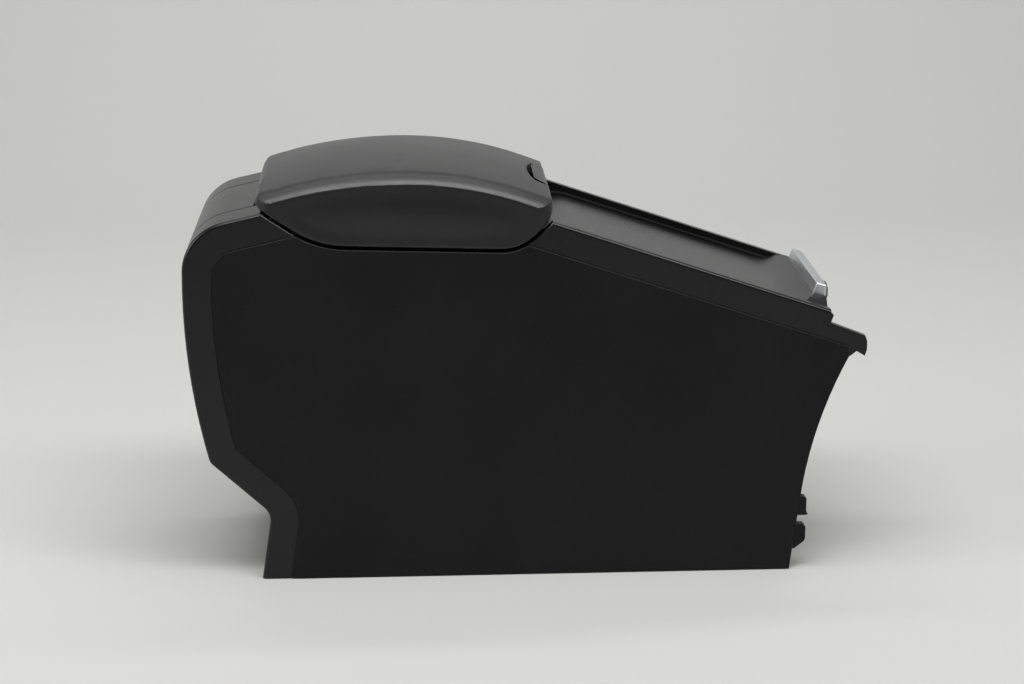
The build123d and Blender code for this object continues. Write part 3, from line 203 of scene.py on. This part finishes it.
def moulded_plastic(name, dark, light, rough, grain_mm, grain_depth_mm, specular):
    """Moulded polypropylene: a pebble grain etched in the mould breaks the gloss, and handling dulls it in
    broad patches."""
    patch_mm = 110
    spread = 0.02
    m = blank(name)
    place = add(m, "TexCoord")
    pebbles = add(
        m,
        "TexVoronoi",
        {"Scale": 1000 / grain_mm, "Randomness": 1.0, "feature": "SMOOTH_F1", "Smoothness": 0.6},
        {"Vector": (place, "Object")},
    )
    patches = add(m, "TexNoise", {"Scale": 1000 / patch_mm, "Detail": 5.0}, {"Vector": (place, "Object")})
    tint = add(
        m,
        "ValToRGB",
        {"stops": ((NOISE_LOW, dark), (NOISE_HIGH, light))},
        {"Fac": (patches, "Fac")},
    )
    dull = add(
        m,
        "MapRange",
        {"From Min": NOISE_LOW, "From Max": NOISE_HIGH, "To Min": rough - spread, "To Max": rough + spread},
        {"Value": (patches, "Fac")},
    )
    grain = add(
        m,
        "Bump",
        {"Strength": 1.0, "Distance": grain_depth_mm * MM},
        {"Height": (pebbles, "Distance")},
    )
    shader = add(
        m,
        "BsdfPrincipled",
        {"IOR": 1.49, "Specular IOR Level": specular},
        {"Base Color": (tint, "Color"), "Roughness": (dull, "Result"), "Normal": (grain, "Normal")},
    )
    add(m, "OutputMaterial", {}, {"Surface": (shader, "BSDF")})
    return m


def band_plastic():
    """Satin moulded ABS blend with a very fine grain, drawn at 0.9 mm so that it shows."""
    return moulded_plastic(
        "satin_moulded_plastic", "#0c0c0d", "#101011",
        rough=0.28, grain_mm=0.9, grain_depth_mm=0.012, specular=0.35,
    )


def panel_plastic():
    """Polypropylene with a coarser leather-like grain, drawn 1.8 mm wide so that it shows; it keeps the panel
    dull."""
    return moulded_plastic(
        "grained_moulded_plastic", "#0c0c0d", "#131314",
        rough=0.42, grain_mm=1.8, grain_depth_mm=0.14, specular=0.2,
    )


def inner_plastic():
    """Plain matt polypropylene of the hidden mouldings, straight from a spark-eroded mould."""
    return moulded_plastic(
        "matt_moulded_plastic", "#0d0d0e", "#111112",
        rough=0.5, grain_mm=1.0, grain_depth_mm=0.04, specular=0.3,
    )


def paddle_plastic():
    """Smooth ABS of the latch paddle, from a polished mould: an even satin sheen and hardly any grain."""
    return moulded_plastic(
        "smooth_moulded_plastic", "#0d0d0e", "#101011",
        rough=0.3, grain_mm=0.8, grain_depth_mm=0.01, specular=0.25,
    )


def shutter_plastic():
    """Extruded sheet with a smooth satin face: long even reflections and hardly any grain."""
    return moulded_plastic(
        "satin_extruded_sheet", "#0e0e10", "#111113",
        rough=0.26, grain_mm=0.8, grain_depth_mm=0.008, specular=0.45,
    )


def pad_leather():
    """Embossed vinyl leatherette over foam: small pebbles between fine creases, soft broad highlights."""
    pebble_mm = 1.3
    crease_share = 0.16
    wander_mm = 6
    patch_mm = 90
    emboss_mm = 0.045
    m = blank("embossed_leatherette")
    place = add(m, "TexCoord")
    wander = add(m, "TexNoise", {"Scale": 1000 / wander_mm, "Detail": 2.0}, {"Vector": (place, "Object")})
    pebbles = add(
        m,
        "TexVoronoi",
        {"Scale": 1000 / pebble_mm, "feature": "DISTANCE_TO_EDGE"},
        {"Vector": (place, "Object")},
    )
    creases = add(
        m,
        "MapRange",
        {"From Min": 0.0, "From Max": crease_share, "To Min": 0.0, "To Max": 1.0},
        {"Value": (pebbles, "Distance")},
    )
    uneven = add(m, "Math", {"operation": "MULTIPLY"}, {0: (creases, "Result"), 1: (wander, "Fac")})
    patches = add(m, "TexNoise", {"Scale": 1000 / patch_mm, "Detail": 4.0}, {"Vector": (place, "Object")})
    tint = add(
        m,
        "ValToRGB",
        {"stops": ((NOISE_LOW, "#0c0c0d"), (NOISE_HIGH, "#101011"))},
        {"Fac": (patches, "Fac")},
    )
    dull = add(
        m,
        "MapRange",
        {"From Min": NOISE_LOW, "From Max": NOISE_HIGH, "To Min": 0.34, "To Max": 0.38},
        {"Value": (patches, "Fac")},
    )
    grain = add(m, "Bump", {"Strength": 1.0, "Distance": emboss_mm * MM}, {"Height": (uneven, "Value")})
    shader = add(
        m,
        "BsdfPrincipled",
        {"IOR": 1.5, "Specular IOR Level": 0.48, "Sheen Weight": 0.04, "Sheen Roughness": 0.5},
        {"Base Color": (tint, "Color"), "Roughness": (dull, "Result"), "Normal": (grain, "Normal")},
    )
    add(m, "OutputMaterial", {}, {"Surface": (shader, "BSDF")})
    return m


def metal(name, dark, light, rough, line_mm, stretch):
    """Bare or plated metal: fine lines from its finishing run along one axis and spread the highlights across
    it."""
    spread = 0.05
    scratch_mm = 0.004
    m = blank(name)
    place = add(m, "TexCoord")
    along = add(m, "Mapping", {"Scale": stretch}, {"Vector": (place, "Object")})
    lines = add(m, "TexNoise", {"Scale": 1000 / line_mm, "Detail": 3.0}, {"Vector": (along, "Vector")})
    tint = add(
        m,
        "ValToRGB",
        {"stops": ((NOISE_LOW, dark), (NOISE_HIGH, light))},
        {"Fac": (lines, "Fac")},
    )
    dull = add(
        m,
        "MapRange",
        {"From Min": NOISE_LOW, "From Max": NOISE_HIGH, "To Min": rough - spread, "To Max": rough + spread},
        {"Value": (lines, "Fac")},
    )
    scratch = add(m, "Bump", {"Strength": 0.6, "Distance": scratch_mm * MM}, {"Height": (lines, "Fac")})
    shader = add(
        m,
        "BsdfPrincipled",
        {"Metallic": 1.0},
        {"Base Color": (tint, "Color"), "Roughness": (dull, "Result"), "Normal": (scratch, "Normal")},
    )
    add(m, "OutputMaterial", {}, {"Surface": (shader, "BSDF")})
    return m


def handle_metal():
    """Satin anodised aluminium; its brush lines of about 0.05 mm are drawn 0.4 mm wide so that they show."""
    return metal(
        "satin_anodised_aluminium", "#cfd0d3", "#dddee0",
        rough=0.38, line_mm=0.4, stretch=(1, 0.03, 1),
    )


def screw_steel():
    """Zinc-plated steel, slightly blue and cloudy."""
    return metal("zinc_plated_steel", "#8f9499", "#a9adb1", rough=0.32, line_mm=0.8, stretch=(1, 1, 1))


def bracket_metal():
    """Steel with a thin black electrocoat: an even, half-gloss film with a faint orange peel."""
    return moulded_plastic(
        "black_electrocoat_steel", "#0e0e10", "#121214",
        rough=0.4, grain_mm=1.6, grain_depth_mm=0.01, specular=0.5,
    )


def mat_rubber():
    """Moulded rubber: very dull, greyed a little by bloom on its surface."""
    return moulded_plastic(
        "moulded_rubber", "#0d0d0e", "#141414",
        rough=0.8, grain_mm=0.9, grain_depth_mm=0.03, specular=0.3,
    )


FINISHES = {
    "band_plastic": band_plastic(),
    "panel_plastic": panel_plastic(),
    "inner_plastic": inner_plastic(),
    "pad_leather": pad_leather(),
    "paddle_plastic": paddle_plastic(),
    "shutter_plastic": shutter_plastic(),
    "handle_metal": handle_metal(),
    "bracket_metal": bracket_metal(),
    "screw_steel": screw_steel(),
    "mat_rubber": mat_rubber(),
}


def coat(piece, slot):
    piece.data.materials.clear()
    piece.data.materials.append(FINISHES[slot])


def coat_nodes():
    for subpart in frame["record"]["subparts"]:
        coat(frame["nodes"][subpart["node"]], subpart["material_slot"])


# Pieces


def only(piece):
    bpy.ops.object.select_all(action="DESELECT")
    piece.select_set(True)
    bpy.context.view_layer.objects.active = piece


def select_points(piece, points):
    """Goes into edit mode with just these points of the piece selected."""
    only(piece)
    bpy.ops.object.mode_set(mode="EDIT")
    bpy.ops.mesh.select_mode(type="VERT")
    bpy.ops.mesh.select_all(action="DESELECT")
    bpy.ops.object.mode_set(mode="OBJECT")
    for index in points:
        piece.data.vertices[index].select = True
    bpy.ops.object.mode_set(mode="EDIT")


def merged_copy(node, name):
    """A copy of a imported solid's mesh with its loose triangles joined."""
    only(frame["nodes"][node])
    bpy.ops.object.duplicate()
    piece = bpy.context.object
    bpy.ops.object.parent_clear(type="CLEAR_KEEP_TRANSFORM")
    piece.name = name
    piece.data.name = name
    bpy.ops.object.mode_set(mode="EDIT")
    bpy.ops.mesh.select_all(action="SELECT")
    bpy.ops.mesh.remove_doubles(threshold=MERGE)
    bpy.ops.object.mode_set(mode="OBJECT")
    return piece


def faces_out(point):
    return point.normal.dot((point.co - PAD_HEART).normalized()) > OUTWARD


def cover_points(pad):
    """The points of the pad's cover that are free to swell: those that face out, above the hem."""
    free = []
    for point in pad.data.vertices:
        place = point.co
        in_pocket = place.x > POCKET_REAR and abs(place.y) < POCKET_HALF
        over_hinge = place.x < HINGE_FRONT and abs(place.y) < HINGE_HALF and place.z < HINGE_TOP
        if faces_out(point) and point.normal.z > HEM_NORMAL_Z and not in_pocket and not over_hinge:
            free.append(point.index)
    return free


def smooth(piece, points, rounds):
    select_points(piece, points)
    bpy.ops.mesh.vertices_smooth(factor=0.5, repeat=rounds)
    bpy.ops.object.mode_set(mode="OBJECT")


def eased(share):
    """A share of 0 to 1 with a soft start and end."""
    share = max(0, min(1, share))
    return share * share * (3 - 2 * share)


def remeshed_pad(name, voxel):
    """A copy of the pad's solid in even faces that lie on its surface, with its edges a little soft."""
    pad = merged_copy("armrest_pad", name)
    only(pad)
    pad.data.remesh_voxel_size = voxel
    bpy.ops.object.voxel_remesh()
    everywhere = range(len(pad.data.vertices))
    for _ in range(RELAX_TURNS):
        smooth(pad, everywhere, RELAX_ROUNDS)
        bpy.ops.object.modifier_add(type="SHRINKWRAP")
        wrap = pad.modifiers[-1]
        wrap.target = frame["nodes"]["armrest_pad"]
        bpy.ops.object.modifier_apply(modifier=wrap.name)
    smooth(pad, everywhere, COVER_ROUNDS)
    return pad


def foam_push():
    """How far the foam's pressure moves the cover, by place: a cloth run on a coarse twin of the pad."""
    twin = remeshed_pad("pad_twin", TWIN_VOXEL)
    points = twin.data.vertices
    start = [point.co.copy() for point in points]
    outside = [point.index for point in points if faces_out(point)]
    held = twin.vertex_groups.new(name="held")
    held.add(sorted(set(range(len(start))) - set(cover_points(twin))), 1.0, "REPLACE")
    only(twin)
    bpy.ops.object.modifier_add(type="CLOTH")
    cloth = twin.modifiers[-1]
    cloth.settings.use_pressure = True
    cloth.settings.uniform_pressure_force = TWIN_PRESSURE
    cloth.settings.effector_weights.gravity = 0
    cloth.settings.vertex_group_mass = "held"
    cloth.settings.bending_stiffness = TWIN_STIFFNESS
    cloth.collision_settings.use_collision = False
    cloth.point_cache.frame_end = TWIN_FRAMES
    for step in range(1, TWIN_FRAMES + 1):
        bpy.context.scene.frame_set(step)
    bpy.ops.object.modifier_apply(modifier=cloth.name)
    bpy.context.scene.frame_set(1)
    moves = []
    places = KDTree(len(outside))
    for index in outside:
        move = points[index].co - start[index]
        move *= min(1, TWIN_CAP / max(move.length, TWIN_CAP))
        places.insert(start[index], len(moves))
        moves.append(move)
    places.balance()
    only(twin)
    bpy.ops.object.delete()
    return places, moves


def swell(pad, free):
    """Moves each free point of the cover by the mean push of the foam near it, from nothing at the held
    places."""
    places, moves = foam_push()
    points = pad.data.vertices
    held = [point.index for point in points if faces_out(point)]
    held = sorted(set(held) - set(free))
    rim = KDTree(len(held))
    for index in held:
        rim.insert(points[index].co, index)
    rim.balance()
    shifts = []
    for index in free:
        place = points[index].co
        total = Vector()
        weight = 0
        for _, near, distance in places.find_range(place, SWELL_REACH):
            total += moves[near] * (SWELL_REACH - distance)
            weight += SWELL_REACH - distance
        push = total / max(weight, MM) - points[index].normal * PAD_SHRINK
        shifts.append(push * eased(rim.find(place)[2] / SWELL_EASE))
    for index, shift in zip(free, shifts):
        points[index].co += shift


def in_section(x, y, z):
    """A place on the lid, in millimetres, as its section sees it, across and up, and the axis and arm of the
    swing that takes the section there."""
    radius = LID_FRONT_R if x > LID_PEAK.x else LID_REAR_R
    axis = LID_PEAK - Vector((0, radius))
    arm = Vector((x, z)) - axis
    return Vector((abs(y), arm.length - radius)), axis, arm


def on_section(place):
    """The nearest point of the lid's section, across and up."""
    for centre, radius, last_tilt in LID_SECTION:
        out = place - centre
        if atan2(out.x, out.y) < last_tilt:
            return centre + out.normalized() * radius
    return Vector((LID_SIDE, place.y))


def draw_true(pad, points):
    """Draws the smoothed cover back to the lid's exact section, clear of its rounded ends."""
    for index in points:
        x, y, z = pad.data.vertices[index].co / MM
        start, axis, arm = in_section(x, y, z)
        pull = on_section(start) - start
        share = min(x - SECTION_REAR, SECTION_FRONT - x) / SECTION_EASE
        if share > 0 and pull.length < SECTION_PULL:
            pull *= eased(share)
            along = axis + arm.normalized() * (arm.length + pull.y)
            side = start.x + pull.x
            pad.data.vertices[index].co = Vector((along.x, -side if y < 0 else side, along.y)) * MM


def true_shading(pad):
    """Shades the rounded ends and the crease of the cover with the normals of the solid's curved faces."""
    shaded = pad.vertex_groups.new(name="shaded")
    for point in pad.data.vertices:
        x, y, z = point.co / MM
        from_crease = (in_section(x, y, z)[0] - CREASE_MIDDLE).length
        near_end = max(ENDS_REAR - x, x - ENDS_FRONT) / ENDS_EASE
        near_crease = 1 - (from_crease - CREASE_HOLD) / CREASE_FADE
        share = max(near_end, near_crease)
        if share > 0:
            shaded.add([point.index], min(1, share), "REPLACE")
    only(pad)
    bpy.ops.object.shade_smooth()
    bpy.ops.object.modifier_add(type="DATA_TRANSFER")
    shading = pad.modifiers[-1]
    shading.object = frame["nodes"]["armrest_pad"]
    shading.use_loop_data = True
    shading.data_types_loops = {"CUSTOM_NORMAL"}
    shading.loop_mapping = "POLYINTERP_NEAREST"
    shading.vertex_group = shaded.name
    bpy.ops.object.modifier_apply(modifier=shading.name)


def armrest_pad():
    """The foam pad in its taut cover, with drawn-round rear corners."""
    pad = remeshed_pad("leatherette_pad", PAD_VOXEL)
    free = cover_points(pad)
    tail = []
    for index in free:
        place = pad.data.vertices[index].co
        if place.x < TAIL_FRONT and abs(place.y) > TAIL_HALF and place.z > TAIL_LOW:
            tail.append(index)
    smooth(pad, tail, TAIL_ROUNDS)
    middle = [index for index in free if SECTION_REAR < pad.data.vertices[index].co.x / MM < SECTION_FRONT]
    for _ in range(RELAX_TURNS):
        smooth(pad, middle, RELAX_ROUNDS)
        draw_true(pad, middle)
    swell(pad, free)
    true_shading(pad)
    coat(pad, "pad_leather")
    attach(pad, "lid")
    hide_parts("armrest_pad")


def shutter_sheet():
    """The flexible sheet: a smooth-shaded copy of its solid that rides on the console."""
    sheet = merged_copy("shutter_sheet", "sliding_sheet")
    only(sheet)
    bpy.ops.object.shade_smooth_by_angle(angle=SHARP)
    coat(sheet, "shutter_plastic")
    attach(sheet, "console")
    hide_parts("shutter_sheet")
    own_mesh(sheet)


def latch_spring():
    """The latch's return spring: a smooth-shaded copy of its solid, left where it stands."""
    spring = merged_copy("latch_spring", "return_spring")
    only(spring)
    bpy.ops.object.shade_smooth_by_angle(angle=SHARP)
    coat(spring, "screw_steel")
    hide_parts("latch_spring")
    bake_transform(spring)


# Stage, in metres

SWEEP_FRONT = -4.0
SWEEP_BACK = 2.6
SWEEP_TOP = 3.4
SWEEP_WIDTH = 12.0
SWEEP_BEND = 1.4
SWEEP_FACETS = 32
SWEEP_DROP = 0.0005       # the sweep lies just under the object
WORLD_LIGHT = 0.15

# Each softbox: its place, the point it faces, its two sides in metres, and its power in watts.
SOFTBOXES = {
    "overhead_softbox": ((0.35, -0.9, 2.1), (0.35, 0, 0.28), (3.0, 0.5), 58),
    "overhead_fill": ((0, -0.25, 2.3), (0, 0, 0.28), (2.4, 0.9), 14),
    "left_softbox": ((-2.2, -0.45, 1.05), (-0.2, 0, 0.25), (0.8, 1.2), 22),
    "backdrop_wash": ((0, 1.0, 2.7), (0, SWEEP_BACK, 0.9), (3.0, 0.4), 45),
}


def floor_sweep():
    """A pale sheet that lies under the object and curves up behind it."""
    bpy.ops.object.select_all(action="DESELECT")
    middle = (0, (SWEEP_FRONT + SWEEP_BACK) / 2, -SWEEP_DROP)
    bpy.ops.mesh.primitive_plane_add(size=1, location=middle)
    sweep = bpy.context.object
    sweep.name = "floor_sweep"
    sweep.scale = (SWEEP_WIDTH, SWEEP_BACK - SWEEP_FRONT, 1)
    bpy.ops.object.transform_apply(location=True, scale=True)
    select_points(sweep, [v.index for v in sweep.data.vertices if v.co.y > 0])
    bpy.ops.mesh.extrude_region_move(TRANSFORM_OT_translate={"value": (0, 0, SWEEP_TOP)})
    bpy.ops.object.mode_set(mode="OBJECT")
    select_points(sweep, [v.index for v in sweep.data.vertices if v.co.y > 0 and v.co.z < SWEEP_BEND])
    bpy.ops.mesh.bevel(offset=SWEEP_BEND, segments=SWEEP_FACETS, affect="EDGES")
    bpy.ops.object.mode_set(mode="OBJECT")
    bpy.ops.object.shade_smooth()
    sweep.data.materials.append(pale_paper())


def pale_paper():
    """Uncoated backdrop paper: pale grey and dull, so that it shows the object's soft shadow."""
    m = blank("pale_paper")
    shader = add(
        m,
        "BsdfPrincipled",
        {"Base Color": colour("#b4b4b3"), "Roughness": 0.85, "Specular IOR Level": 0.2},
    )
    add(m, "OutputMaterial", {}, {"Surface": (shader, "BSDF")})
    return m


def studio_light():
    world = bpy.data.worlds.new("studio")
    bpy.context.scene.world = world
    world.use_nodes = True
    world.node_tree.nodes["Background"].inputs["Color"].default_value = colour("#ffffff")
    world.node_tree.nodes["Background"].inputs["Strength"].default_value = WORLD_LIGHT
    for name, (place, target, size, power) in SOFTBOXES.items():
        aim = (Vector(target) - Vector(place)).to_track_quat("-Z", "Y").to_euler()
        bpy.ops.object.light_add(type="AREA", location=place, rotation=aim)
        lamp = bpy.context.object
        lamp.name = name
        lamp.data.shape = "RECTANGLE"
        lamp.data.size, lamp.data.size_y = size
        lamp.data.energy = power


place_camera()
coat_nodes()
armrest_pad()
shutter_sheet()
latch_spring()
floor_sweep()
studio_light()
bpy.context.scene.view_settings.view_transform = "Standard"
